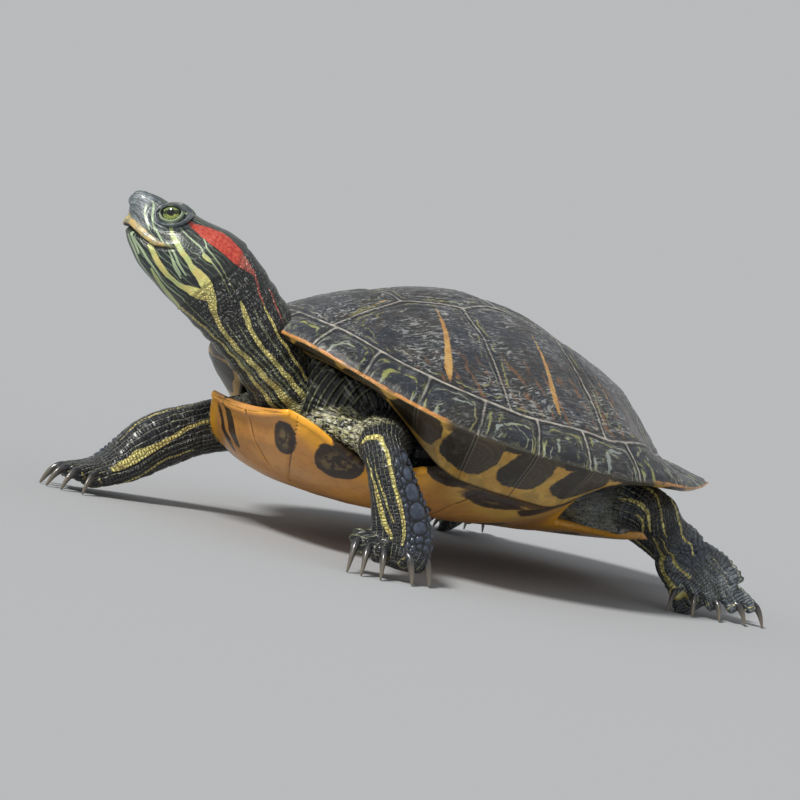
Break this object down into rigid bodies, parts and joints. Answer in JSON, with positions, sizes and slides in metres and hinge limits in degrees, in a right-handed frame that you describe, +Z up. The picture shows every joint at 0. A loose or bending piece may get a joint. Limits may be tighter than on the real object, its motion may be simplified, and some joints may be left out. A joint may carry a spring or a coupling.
{
  "type": "red-eared slider turtle",
  "caption": "Life-size still model of a basking pond turtle with a domed shell, raised striped head turned to one side, clawed forefeet and webbed hind feet.",
  "frame": {"origin": "middle of the model's footprint box, on the ground", "axes": "+Z up, the animal faces -Y, its left side is +X; the longest way is along Y"},
  "size_m": [0.166, 0.2572, 0.1048],
  "materials": {
    "carapace": "worn horn plates, dark olive-black with cream growth lines",
    "plastron": "smooth horn plates, amber with dark blotches",
    "skin": "finely scaled damp skin, near black with yellow stripes and a red ear patch",
    "jaw": "horny jaw sheath, tan",
    "eye": "wet eye, green-yellow iris with a black pupil",
    "claw": "dark horn"
  },
  "bodies": {
    "root": {"carapace": "carapace", "plastron": "plastron", "trunk": "skin", "neck": "skin", "head": "skin", "lower_jaw": "jaw", "left_eye": "eye", "right_eye": "eye", "left_fore_claw_1": "claw", "left_fore_claw_2": "claw", "left_fore_claw_3": "claw", "left_fore_claw_4": "claw", "left_fore_claw_5": "claw", "left_forearm": "skin", "left_forefoot": "skin", "left_hind_claw_1": "claw", "left_hind_claw_2": "claw", "left_hind_claw_3": "claw", "left_hind_claw_4": "claw", "left_hind_claw_5": "claw", "left_hindfoot": "skin", "left_shank": "skin", "left_thigh": "skin", "left_upper_arm": "skin", "right_fore_claw_1": "claw", "right_fore_claw_2": "claw", "right_fore_claw_3": "claw", "right_fore_claw_4": "claw", "right_fore_claw_5": "claw", "right_forearm": "skin", "right_forefoot": "skin", "right_hind_claw_1": "claw", "right_hind_claw_2": "claw", "right_hind_claw_3": "claw", "right_hind_claw_4": "claw", "right_hind_claw_5": "claw", "right_hindfoot": "skin", "right_shank": "skin", "right_thigh": "skin", "right_upper_arm": "skin", "tail": "skin"}
  },
  "joints": []
}
